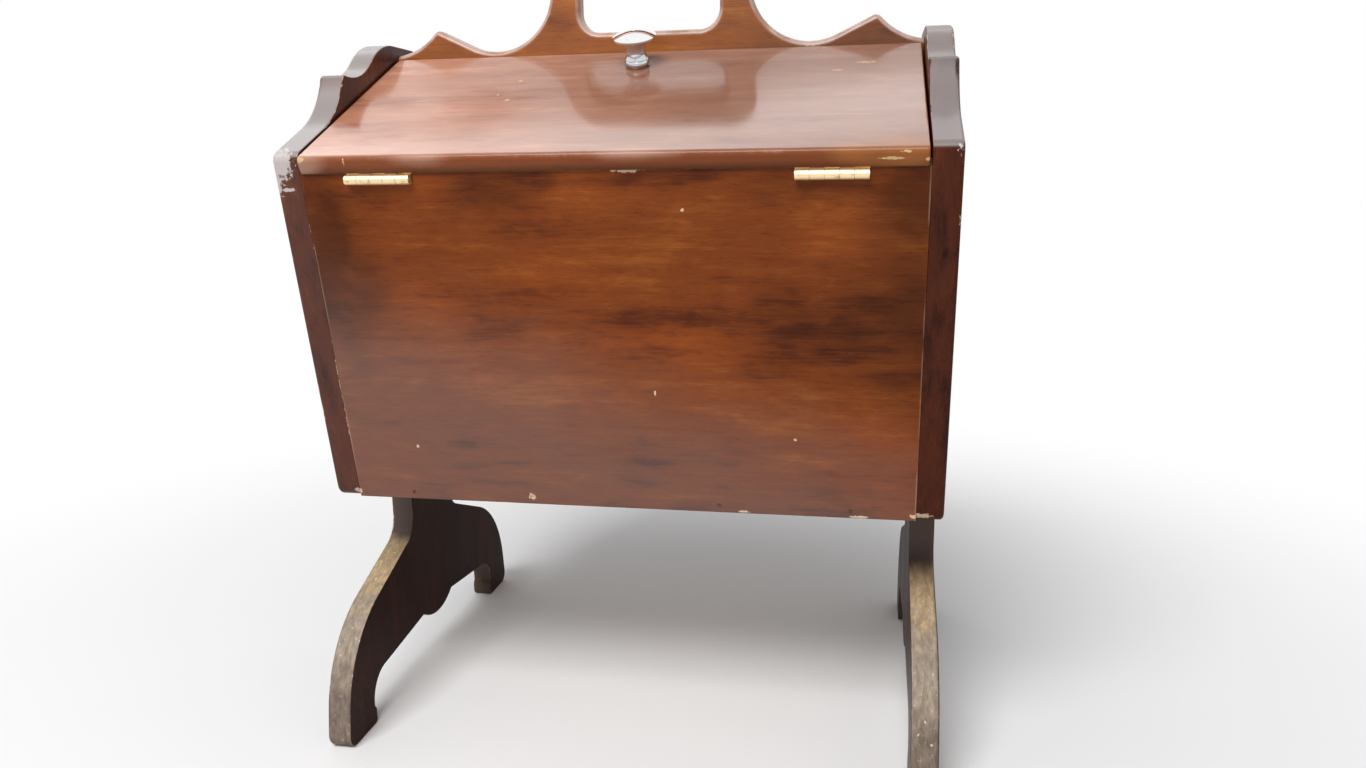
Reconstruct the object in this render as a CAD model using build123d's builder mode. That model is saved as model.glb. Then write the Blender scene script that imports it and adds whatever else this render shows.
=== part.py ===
"""Sewing stand: a box with sloping sides and two roof lids, hung between scroll-cut end boards on feet.

Front is -Y, up is +Z, and the origin lies on the floor under the middle of the stand.
The back half of the box is the front half turned half round about Z.
"""

import math
import os

from build123d import *

os.makedirs("parts", exist_ok=True)

# Stock sizes in millimetres
INNER_WIDTH = 344.0  # between the inner faces of the two end boards
END_BOARD = 15.9  # 5/8 inch
HANDLE_BOARD = 14.3  # 9/16 inch
PANEL = 9.5  # front, back and bottom, 3/8 inch
PANEL_ARRIS = 1.2  # rounding of a panel's lower outer edge
LID = 10.0  # lid thickness

# Section of the box, measured from the middle of the stand and from the floor
RIM_DEPTH = 143.0  # outer top arris of the front panel
RIM_HEIGHT = 357.0
FLOOR_DEPTH = 103.5  # outer bottom arris of the front panel
FLOOR_HEIGHT = 156.0
LID_SLOPE = 25.1  # degrees
SEAM = 0.3  # gap between a closed lid and what it closes on

# Lids
LID_SIDE_GAP = 1.2
LID_OVERHANG = 1.5  # past the front panel
LID_TOP_DEPTH = 8.2  # middle of the stand to the lid's upper edge
NOSING = 3.0  # rounding of the lid's front top arris
LID_ARRIS = 1.0  # rounding of its other long edges
LID_SIDE_ARRIS = 0.8

# End board, scalloped top: (depth from the middle, height)
END_TOP = 439.5
CROWN_FLAT = 14.0
CROWN_RADIUS = 47.0
CROWN_TURN = 44.0  # degrees
TOP_CUSP = (84.6, 415.5)
FLUSH_DEPTH = 113.0  # from here forward the edge runs with the lid
FLUSH_RISE = 0.5  # above the lid's upper face
NOSE_RADIUS = 6.0

# End board, waist, legs and arch: (depth from the middle, height)
CORNER_RADIUS = 8.0  # lower corner of the box end
WAIST = 33.0  # half width
WAIST_FILLET = 4.0
COVE = (33.0, 107.0)
COVE_RADIUS = 18.0
KNEE = (133.0, 67.8)
KNEE_RADIUS = 75.0
TOE = (142.4, 0.0)
TOE_RADIUS = 8.0
HEEL = (105.0, 0.0)
HEEL_TOP = (105.0, 10.5)
HEEL_STEP = (107.0, 12.0)
HEEL_RADIUS = 2.7
STEP_RADIUS = 2.0
ARCH_SPRING = (107.0, 14.0)
ARCH_END = (88.0, 33.6)
ARCH_CUSP = (25.0, 40.4)
PENDANT = 32.5  # lowest point of the pendant in the middle of the arch
CUSP_RADIUS = 2.7
OUTER_ARRIS = 2.5  # rounding of the edges
INNER_ARRIS = 0.8

# Handle board: (distance from the middle, height)
HOUSING = 4.0  # depth of the slots in the end boards that hold it
HANDLE_FOOT = 385.0
HANDLE_END = 434.0
HOUSED_TOP = 429.0  # the slots stop short of the board's top
SHOULDER_BEND = (156.5, 439.2)
PEAK = (144.0, 450.0)
PEAK_RADIUS = 4.4
DIP_CORNER = (64.8, 412.6)
DIP_RADIUS = 38.2
HANDLE_TOP = 505.0
GRIP_RADIUS = 22.0  # upper corners of the handle
HAND_HOLE_WIDTH = 91.0
HAND_HOLE_FOOT = 444.2
HAND_HOLE_TOP = 481.5
HAND_HOLE_RADIUS = 13.0
HANDLE_ARRIS = 4.0  # rounding of its scrolled edges

# Rest strips for the lids' upper edges, glued to the handle board
REST_LENGTH = 300.0
REST_DEPTH = 8.0
REST_HEIGHT = 10.0

# Hinges, 1 1/2 inch narrow butts
HINGE_X = (-125.0, 122.5)  # middles of the two hinges of the front lid
HINGE_LENGTH = 38.0
KNUCKLES = 5
KNUCKLE_GAP = 0.2
BARREL = 2.75  # radius
PIN = 1.25  # radius
BORE = 1.3  # radius
LEAF = 1.2  # thickness
LEAF_START = 3.05  # from the pin axis
LEAF_END = 11.0
PIN_OUT = 3.2  # pin axis ahead of the panel's top arris, along the lid
NOTCH_GAP = 0.3  # clearance round a hinge in its notch
SCREW_SPREAD = 11.0  # screw to the middle of its hinge
SCREW_REACH = 6.8  # screw to the pin axis

# Fasteners
SCREW_HEAD = 2.1  # radius
SCREW_SHANK = 1.1  # radius
SCREW_HEAD_LAND = 0.15  # upright rim of the head
SCREW_HEAD_DEPTH = 1.1
LID_SCREW_LENGTH = 8.0
BOX_SCREW_LENGTH = 9.5
SLOT_WIDTH = 0.6
SLOT_DEPTH = 0.5
BRAD_HEAD = 1.2  # radius
BRAD_HEAD_DEPTH = 1.2
BRAD_SHANK = 0.8  # radius
BRAD_LENGTH = 30.0
BRAD_SET = 0.6  # heads punched below the surface
HOLE_GAP = 0.05  # a hole is this much wider than its fastener, in radius
END_BRAD_HEIGHTS = (190.0, 255.0, 325.0)  # into the front and back panels
BOTTOM_BRAD_DEPTH = 45.0
HANDLE_BRAD_HEIGHTS = (397.0, 421.0)
PANEL_BRAD_X = (-135.0, -58.0, 58.0, 135.0)  # into the bottom board

# Knobs: (radius, height above the lid)
KNOB_X = -2.5
KNOB_DEPTH = 31.0  # middle of the stand to the knob, at the lid's upper face
STEM_FOOT = (7.0, 0.0)
STEM_COLLAR = (7.6, 2.2)
STEM_GROOVE = (6.6, 4.3)
STEM_LIP = (7.4, 4.8)
STEM_WAIST = (6.0, 9.6)
STEM_NECK = (7.2, 15.4)
STEM_SPIGOT = (4.0, 17.4)
CAP_RIM = (13.4, 17.3)
CAP_RIM_TOP = (13.4, 18.2)
CAP_CROWN = 21.6  # height of the domed top
KNOB_BOLT = 2.0  # radius
KNOB_BOLT_HEAD = 3.8  # radius
KNOB_BOLT_HEAD_DEPTH = 2.2
KNOB_BOLT_DEPTH = 9.0  # into the stem

# Directions and planes of the front lid, taken from its underside
SLOPE = math.radians(LID_SLOPE)
RUN = math.cos(SLOPE)
RISE = math.sin(SLOPE)
UP_LID = (0, RUN, RISE)
OFF_LID = (0, -RISE, RUN)
INTO_LID = (0, RISE, -RUN)
LEAN = (RIM_DEPTH - FLOOR_DEPTH) / (RIM_HEIGHT - FLOOR_HEIGHT)
RIM = (0, -RIM_DEPTH, RIM_HEIGHT)
LID_PLANE = Plane(origin=RIM, x_dir=(1, 0, 0), z_dir=OFF_LID)
LID_SECTION = Plane(origin=RIM, x_dir=UP_LID, z_dir=(1, 0, 0))
PIN_SECTION = Plane(LID_SECTION.from_local_coords((-PIN_OUT, -BARREL, 0)), UP_LID, (1, 0, 0))
BACK_TURN = (0, 0, 180)


def face_depth(height):
    """Depth of the front panel's outer face at a height."""
    return FLOOR_DEPTH + (height - FLOOR_HEIGHT) * LEAN


def lid_top(depth):
    """Height of the lid's upper face at a depth."""
    return RIM_HEIGHT + LID / RUN + (RIM_DEPTH - depth) * RISE / RUN


def save(piece, label):
    """Writes one finished piece under its own name."""
    piece.part.label = label
    export_step(piece.part, f"parts/{label}.step")


def save_back(front, label):
    """Writes the back piece that is a front piece turned half round."""
    with BuildPart() as back:
        add(front.part, rotation=BACK_TURN)
    save(back, label)


def make_brad(gap, mouth):
    """One brad, head upward, grown by a gap and with a mouth above the head."""
    with BuildPart() as piece:
        with BuildSketch(Plane.XZ):
            with BuildLine():
                Polyline(
                    (0, mouth),
                    (BRAD_HEAD + gap, mouth),
                    (BRAD_HEAD + gap, -BRAD_HEAD_DEPTH - gap),
                    (BRAD_SHANK + gap, -BRAD_HEAD_DEPTH - gap),
                    (BRAD_SHANK + gap, -BRAD_LENGTH - gap),
                    (0, -BRAD_LENGTH - gap),
                    close=True,
                )
            make_face()
        revolve(axis=Axis.Z)
    return piece


def make_screw(length, gap, mouth):
    """One countersunk screw, head upward, grown by a gap and with a mouth above the head."""
    with BuildPart() as piece:
        with BuildSketch(Plane.XZ):
            with BuildLine():
                Polyline(
                    (0, mouth),
                    (SCREW_HEAD + gap, mouth),
                    (SCREW_HEAD + gap, -SCREW_HEAD_LAND),
                    (SCREW_SHANK + gap, -SCREW_HEAD_DEPTH),
                    (SCREW_SHANK + gap, SCREW_SHANK - length - gap),
                    (0, -length - gap),
                    close=True,
                )
            make_face()
        revolve(axis=Axis.Z)
    return piece


# One brad and the hole that it makes
brad = make_brad(0, 0)
brad_hole = make_brad(HOLE_GAP, BRAD_SET + NOTCH_GAP)

# Where the brads go: the left end board's face into the panels, the bottom and the handle board
END_FACE = INNER_WIDTH / 2 + END_BOARD
PANEL_MIDDLE = PANEL / 2 * math.hypot(1, LEAN)
end_spots = []
for height in END_BRAD_HEIGHTS:
    end_spots.append((PANEL_MIDDLE - face_depth(height), height))
    end_spots.append((face_depth(height) - PANEL_MIDDLE, height))
for depth in (-BOTTOM_BRAD_DEPTH, BOTTOM_BRAD_DEPTH):
    end_spots.append((depth, FLOOR_HEIGHT + PANEL / 2))
for height in HANDLE_BRAD_HEIGHTS:
    end_spots.append((0, height))
left_brad_planes = [Plane((BRAD_SET - END_FACE, y, z), z_dir=(-1, 0, 0)) for y, z in end_spots]
right_brad_planes = [Plane((END_FACE - BRAD_SET, y, z), z_dir=(1, 0, 0)) for y, z in end_spots]

# The panel brads lie level, and their heads sit just inside the sloping face
BRAD_LINE = FLOOR_HEIGHT + PANEL / 2
BRAD_START = face_depth(BRAD_LINE) - BRAD_SET
front_brad_planes = [Plane((x, -BRAD_START, BRAD_LINE), z_dir=(0, -1, 0)) for x in PANEL_BRAD_X]
back_brad_planes = [Plane((x, BRAD_START, BRAD_LINE), z_dir=(0, 1, 0)) for x in PANEL_BRAD_X]

with BuildPart() as end_board_brads:
    with Locations(left_brad_planes + right_brad_planes):
        add(brad.part)
save(end_board_brads, "end_board_brads")

with BuildPart() as panel_brads:
    with Locations(front_brad_planes + back_brad_planes):
        add(brad.part)
save(panel_brads, "panel_brads")

# End board: one board from the scalloped top to the feet, drawn as half an outline and mirrored
with BuildPart() as left_end_board:
    with BuildSketch(Plane.YZ.offset(-END_FACE)) as end_outline:
        with BuildLine():
            crown = Line((0, END_TOP), (CROWN_FLAT, END_TOP))
            shoulder = JernArc(crown @ 1, crown % 1, CROWN_RADIUS, -CROWN_TURN)
            TangentArc(shoulder @ 1, TOP_CUSP, tangent=shoulder % 1)
            flush_start = (FLUSH_DEPTH, lid_top(FLUSH_DEPTH) + FLUSH_RISE)
            TangentArc(flush_start, TOP_CUSP, tangent=(-RUN, RISE))
            nose_depth = RIM_DEPTH + (LID + FLUSH_RISE * RUN) * LEAN / (RUN + RISE * LEAN)
            FilletPolyline(
                flush_start,
                (nose_depth, lid_top(nose_depth) + FLUSH_RISE),
                (FLOOR_DEPTH, FLOOR_HEIGHT),
                (WAIST, FLOOR_HEIGHT),
                COVE,
                KNEE,
                TOE,
                HEEL,
                HEEL_TOP,
                HEEL_STEP,
                ARCH_SPRING,
                radius=[
                    NOSE_RADIUS,
                    CORNER_RADIUS,
                    WAIST_FILLET,
                    COVE_RADIUS,
                    KNEE_RADIUS,
                    TOE_RADIUS,
                    HEEL_RADIUS,
                    HEEL_RADIUS,
                    STEP_RADIUS,
                ],
            )
            TangentArc(ARCH_SPRING, ARCH_END, tangent=(0, 1))
            Line(ARCH_END, ARCH_CUSP)
            sag = ARCH_CUSP[1] - PENDANT
            pendant_radius = (ARCH_CUSP[0] ** 2 + sag**2) / (2 * sag)
            RadiusArc((0, PENDANT), ARCH_CUSP, -pendant_radius)
            mirror(about=Plane.YZ)
        make_face()
        for cusp in (TOP_CUSP, ARCH_CUSP):
            fillet(end_outline.vertices().filter_by_position(Axis.Y, cusp[1], cusp[1]), radius=CUSP_RADIUS)
    extrude(amount=END_BOARD)
    side_faces = left_end_board.faces().filter_by(Axis.X).sort_by(Axis.X)
    fillet(side_faces[0].edges(), radius=OUTER_ARRIS)
    side_faces = left_end_board.faces().filter_by(Axis.X).sort_by(Axis.X)
    fillet(side_faces[-1].edges(), radius=INNER_ARRIS)
    # The blind slot that holds the end of the handle board
    with BuildSketch(Plane.YZ.offset(-INNER_WIDTH / 2 - HOUSING)):
        with Locations((0, (HANDLE_FOOT + HOUSED_TOP) / 2)):
            Rectangle(HANDLE_BOARD, HOUSED_TOP - HANDLE_FOOT)
    extrude(amount=HOUSING, mode=Mode.SUBTRACT)
    with Locations(left_brad_planes):
        add(brad_hole.part, mode=Mode.SUBTRACT)
save(left_end_board, "left_end_board")

with BuildPart() as right_end_board:
    mirror(left_end_board.part, about=Plane.YZ)
save(right_end_board, "right_end_board")

# Handle board: housed in both end boards, with a scrolled top and a hand hole
with BuildPart() as handle_board:
    with BuildSketch(Plane.XZ) as handle_outline:
        with BuildLine():
            side = INNER_WIDTH / 2
            housed = side + HOUSING
            Polyline(
                (0, HANDLE_FOOT),
                (housed, HANDLE_FOOT),
                (housed, HOUSED_TOP),
                (side, HOUSED_TOP),
                (side, HANDLE_END),
            )
            ThreePointArc((side, HANDLE_END), SHOULDER_BEND, PEAK)
            FilletPolyline(
                PEAK,
                DIP_CORNER,
                (DIP_CORNER[0], HANDLE_TOP),
                (0, HANDLE_TOP),
                radius=[DIP_RADIUS, GRIP_RADIUS],
            )
            mirror(about=Plane.YZ)
        make_face()
        fillet(handle_outline.vertices().filter_by_position(Axis.Y, PEAK[1], PEAK[1]), radius=PEAK_RADIUS)
        hole_height = HAND_HOLE_TOP - HAND_HOLE_FOOT
        with Locations((0, HAND_HOLE_FOOT + hole_height / 2)):
            RectangleRounded(HAND_HOLE_WIDTH, hole_height, HAND_HOLE_RADIUS, mode=Mode.SUBTRACT)
    extrude(amount=HANDLE_BOARD / 2, both=True)
    side_edges = handle_board.faces().filter_by(Axis.Y).edges()
    scroll = side_edges.filter_by_position(Axis.Z, HANDLE_END + HANDLE_ARRIS, HANDLE_TOP + HANDLE_ARRIS)
    fillet(scroll, radius=HANDLE_ARRIS)
    with Locations(left_brad_planes + right_brad_planes):
        add(brad_hole.part, mode=Mode.SUBTRACT)
save(handle_board, "handle_board")

# One hinge screw for the box and one for the lid, and the holes they make
box_screw = make_screw(BOX_SCREW_LENGTH, 0, 0)
lid_screw = make_screw(LID_SCREW_LENGTH, 0, 0)
box_screw_hole = make_screw(BOX_SCREW_LENGTH, HOLE_GAP, NOTCH_GAP)
lid_screw_hole = make_screw(LID_SCREW_LENGTH, HOLE_GAP, NOTCH_GAP)

# Where the screws of the front hinges go, heads facing each other across the closed hinge
SCREW_UP = SCREW_REACH - PIN_OUT
box_screw_planes = []
lid_screw_planes = []
for middle in HINGE_X:
    for x in (middle - SCREW_SPREAD, middle + SCREW_SPREAD):
        box_spot = LID_PLANE.from_local_coords((x, SCREW_UP, LEAF - 2 * BARREL))
        box_screw_planes.append(Plane(box_spot, x_dir=(1, 0, 0), z_dir=OFF_LID))
        lid_spot = LID_PLANE.from_local_coords((x, SCREW_UP, -LEAF))
        lid_screw_planes.append(Plane(lid_spot, x_dir=(1, 0, 0), z_dir=INTO_LID))

with BuildPart() as front_box_hinge_screws:
    with Locations(box_screw_planes):
        add(box_screw.part)
        Box(3 * SCREW_HEAD, SLOT_WIDTH, 2 * SLOT_DEPTH, mode=Mode.SUBTRACT)
save(front_box_hinge_screws, "front_box_hinge_screws")
save_back(front_box_hinge_screws, "back_box_hinge_screws")

with BuildPart() as front_lid_hinge_screws:
    with Locations(lid_screw_planes):
        add(lid_screw.part)
        Box(3 * SCREW_HEAD, SLOT_WIDTH, 2 * SLOT_DEPTH, mode=Mode.SUBTRACT)
save(front_lid_hinge_screws, "front_lid_hinge_screws")
save_back(front_lid_hinge_screws, "back_lid_hinge_screws")

# Front and back panel: a leaning board, its top bevelled to the lid and notched for the closed hinges
with BuildPart() as front_panel:
    with BuildSketch(Plane.YZ):
        with BuildLine():
            across = PANEL * math.hypot(1, LEAN)
            tall = RIM_HEIGHT + PANEL
            FilletPolyline(
                (-face_depth(FLOOR_HEIGHT), FLOOR_HEIGHT),
                (-face_depth(tall), tall),
                (across - face_depth(tall), tall),
                (across - face_depth(FLOOR_HEIGHT), FLOOR_HEIGHT),
                radius=[PANEL_ARRIS, 0, 0, 0],
                close=True,
            )
        make_face()
    extrude(amount=INNER_WIDTH / 2, both=True)
    split(bisect_by=LID_PLANE.offset(-SEAM), keep=Keep.BOTTOM)
    notch_depth = 2 * BARREL
    notch_end = LEAF_END - PIN_OUT + NOTCH_GAP
    for middle in HINGE_X:
        with BuildSketch(LID_PLANE.offset(-notch_depth)):
            with Locations((middle, notch_end / 2 - PANEL)):
                Rectangle(HINGE_LENGTH + 2 * NOTCH_GAP, notch_end + 2 * PANEL)
        extrude(amount=notch_depth, mode=Mode.SUBTRACT)
    with Locations(box_screw_planes):
        add(box_screw_hole.part, mode=Mode.SUBTRACT)
    with Locations(front_brad_planes + left_brad_planes + right_brad_planes):
        add(brad_hole.part, mode=Mode.SUBTRACT)
save(front_panel, "front_panel")
save_back(front_panel, "back_panel")

# Bottom board: fitted between the panels, with bevelled long edges
with BuildPart() as bottom_board:
    with BuildSketch(Plane.YZ):
        with BuildLine():
            low = face_depth(FLOOR_HEIGHT) - PANEL * math.hypot(1, LEAN)
            high = low + PANEL * LEAN
            Polyline(
                (-low, FLOOR_HEIGHT),
                (-high, FLOOR_HEIGHT + PANEL),
                (high, FLOOR_HEIGHT + PANEL),
                (low, FLOOR_HEIGHT),
                close=True,
            )
        make_face()
    extrude(amount=INNER_WIDTH / 2, both=True)
    with Locations(front_brad_planes + back_brad_planes + left_brad_planes + right_brad_planes):
        add(brad_hole.part, mode=Mode.SUBTRACT)
save(bottom_board, "bottom_board")

# Rest strip under the lid's upper edge, its top cut to the slope of the lid
with BuildPart() as front_lid_rest:
    with BuildSketch(Plane.YZ):
        with BuildLine():
            back = -HANDLE_BOARD / 2
            front = back - REST_DEPTH
            foot = lid_top(-front) - LID / RUN - REST_HEIGHT
            tall = lid_top(0)
            Polyline((back, foot), (back, tall), (front, tall), (front, foot), close=True)
        make_face()
    extrude(amount=REST_LENGTH / 2, both=True)
    split(bisect_by=LID_PLANE.offset(-SEAM), keep=Keep.BOTTOM)
save(front_lid_rest, "front_lid_rest")
save_back(front_lid_rest, "back_lid_rest")

# The knob's axis on the lid
KNOB_UP = (RIM_DEPTH - KNOB_DEPTH + LID * RISE) / RUN
knob_spot = LID_PLANE.from_local_coords((KNOB_X, KNOB_UP, LID))
KNOB_SEAT = Plane(knob_spot, x_dir=(1, 0, 0), z_dir=OFF_LID)
KNOB_SECTION = Plane(knob_spot, x_dir=(1, 0, 0), z_dir=(0, -RUN, -RISE))
knob_axis = Axis(knob_spot, OFF_LID)
bolt_top = KNOB_BOLT_DEPTH
bolt_foot = -LID - KNOB_BOLT_HEAD_DEPTH

# Lid: a flat board with a rounded front edge and its upper edge cut upright along the handle board
with BuildPart() as front_lid:
    with BuildSketch(LID_SECTION):
        with BuildLine():
            under_end = (RIM_DEPTH - LID_TOP_DEPTH) / RUN
            over_end = under_end + LID * RISE / RUN
            FilletPolyline(
                (under_end, 0),
                (-LID_OVERHANG, 0),
                (-LID_OVERHANG, LID),
                (over_end, LID),
                radius=[LID_ARRIS, LID_ARRIS, NOSING, LID_ARRIS],
                close=True,
            )
        make_face()
    extrude(amount=INNER_WIDTH / 2 - LID_SIDE_GAP, both=True)
    fillet(front_lid.faces().filter_by(Axis.X).edges(), radius=LID_SIDE_ARRIS)
    with Locations(lid_screw_planes):
        add(lid_screw_hole.part, mode=Mode.SUBTRACT)
    with BuildSketch(KNOB_SEAT):
        Circle(KNOB_BOLT + HOLE_GAP)
    extrude(amount=-LID, mode=Mode.SUBTRACT)
save(front_lid, "front_lid")
save_back(front_lid, "back_lid")

# Knob stem: turned with a round collar under a hollowed neck, drilled for the bolt, with a spigot for the cap
with BuildPart() as front_knob_stem:
    with BuildSketch(KNOB_SECTION):
        with BuildLine():
            Line((0, 0), STEM_FOOT)
            ThreePointArc(STEM_FOOT, STEM_COLLAR, STEM_GROOVE)
            Line(STEM_GROOVE, STEM_LIP)
            TangentArc(STEM_WAIST, STEM_LIP, tangent=(0, -1))
            TangentArc(STEM_WAIST, STEM_NECK, tangent=(0, 1))
            Polyline(
                STEM_NECK,
                (STEM_SPIGOT[0], STEM_NECK[1]),
                STEM_SPIGOT,
                (0, STEM_SPIGOT[1]),
                (0, 0),
            )
        make_face()
    revolve(axis=knob_axis)
    with BuildSketch(KNOB_SEAT):
        Circle(KNOB_BOLT + HOLE_GAP)
    extrude(amount=bolt_top + HOLE_GAP, mode=Mode.SUBTRACT)
save(front_knob_stem, "front_knob_stem")
save_back(front_knob_stem, "back_knob_stem")

# Knob cap: a spun disc with a domed top, pressed on the spigot
with BuildPart() as front_knob_cap:
    with BuildSketch(KNOB_SECTION):
        with BuildLine():
            socket = STEM_SPIGOT[0] + HOLE_GAP
            Polyline(
                (0, CAP_CROWN),
                (0, STEM_SPIGOT[1] + HOLE_GAP),
                (socket, STEM_SPIGOT[1] + HOLE_GAP),
                (socket, STEM_NECK[1]),
                STEM_NECK,
            )
            Spline(STEM_NECK, CAP_RIM, tangents=[(1, 0.1), (0.6, 1)])
            Line(CAP_RIM, CAP_RIM_TOP)
            TangentArc((0, CAP_CROWN), CAP_RIM_TOP, tangent=(1, 0))
        make_face()
    revolve(axis=knob_axis)
save(front_knob_cap, "front_knob_cap")
save_back(front_knob_cap, "back_knob_cap")

# Knob bolt: up through the lid from below
with BuildPart() as front_knob_bolt:
    with BuildSketch(KNOB_SECTION):
        with BuildLine():
            Polyline(
                (0, bolt_top),
                (KNOB_BOLT, bolt_top),
                (KNOB_BOLT, -LID),
                (KNOB_BOLT_HEAD, -LID),
                (KNOB_BOLT_HEAD, -LID - KNOB_BOLT_HEAD_DEPTH / 2),
            )
            TangentArc((0, bolt_foot), (KNOB_BOLT_HEAD, -LID - KNOB_BOLT_HEAD_DEPTH / 2), tangent=(1, 0))
            Line((0, bolt_foot), (0, bolt_top))
        make_face()
    revolve(axis=knob_axis)
    with BuildSketch(KNOB_SEAT.offset(bolt_foot)):
        Rectangle(3 * KNOB_BOLT_HEAD, SLOT_WIDTH)
    extrude(amount=SLOT_DEPTH, mode=Mode.SUBTRACT)
save(front_knob_bolt, "front_knob_bolt")
save_back(front_knob_bolt, "back_knob_bolt")

# Hinges: the box leaf lies in the notch, the lid leaf under the lid, and the pin runs through both
PITCH = HINGE_LENGTH / KNUCKLES
LEAF_WIDTH = LEAF_END - LEAF_START


def hinge_leaf(start, level, first_knuckle, screw_hole, screw_planes):
    """One leaf of a hinge: a plate at a level from the pin axis, and every second knuckle."""
    with BuildPart() as leaf:
        with BuildSketch(PIN_SECTION.offset(start)):
            with Locations((LEAF_START + LEAF_WIDTH / 2, level)):
                Rectangle(LEAF_WIDTH, LEAF)
        extrude(amount=HINGE_LENGTH)
        for place in range(first_knuckle, KNUCKLES, 2):
            with BuildSketch(PIN_SECTION.offset(start + place * PITCH + KNUCKLE_GAP / 2)):
                Circle(BARREL)
                with Locations((LEAF_START / 2, level)):
                    Rectangle(LEAF_START, LEAF)
            extrude(amount=PITCH - KNUCKLE_GAP)
        with BuildSketch(PIN_SECTION.offset(start)):
            Circle(BORE)
        extrude(amount=HINGE_LENGTH, mode=Mode.SUBTRACT)
        with Locations(screw_planes):
            add(screw_hole.part, mode=Mode.SUBTRACT)
    return leaf


for middle, front_side, back_side in zip(HINGE_X, ("left", "right"), ("right", "left")):
    start = middle - HINGE_LENGTH / 2
    box_leaf = hinge_leaf(start, LEAF / 2 - BARREL, 0, box_screw_hole, box_screw_planes)
    save(box_leaf, f"front_{front_side}_hinge_box_leaf")
    save_back(box_leaf, f"back_{back_side}_hinge_box_leaf")
    lid_leaf = hinge_leaf(start, BARREL - LEAF / 2, 1, lid_screw_hole, lid_screw_planes)
    save(lid_leaf, f"front_{front_side}_hinge_lid_leaf")
    save_back(lid_leaf, f"back_{back_side}_hinge_lid_leaf")
    with BuildPart() as hinge_pin:
        with BuildSketch(PIN_SECTION.offset(start)):
            Circle(PIN)
        extrude(amount=HINGE_LENGTH)
    save(hinge_pin, f"front_{front_side}_hinge_pin")
    save_back(hinge_pin, f"back_{back_side}_hinge_pin")
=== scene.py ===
"""Looks of the sewing stand: old mahogany stain under varnish, worn edges, brass hinges, chromed knobs."""

import math

import bpy
import numpy as np
from mathutils import Matrix

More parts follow.
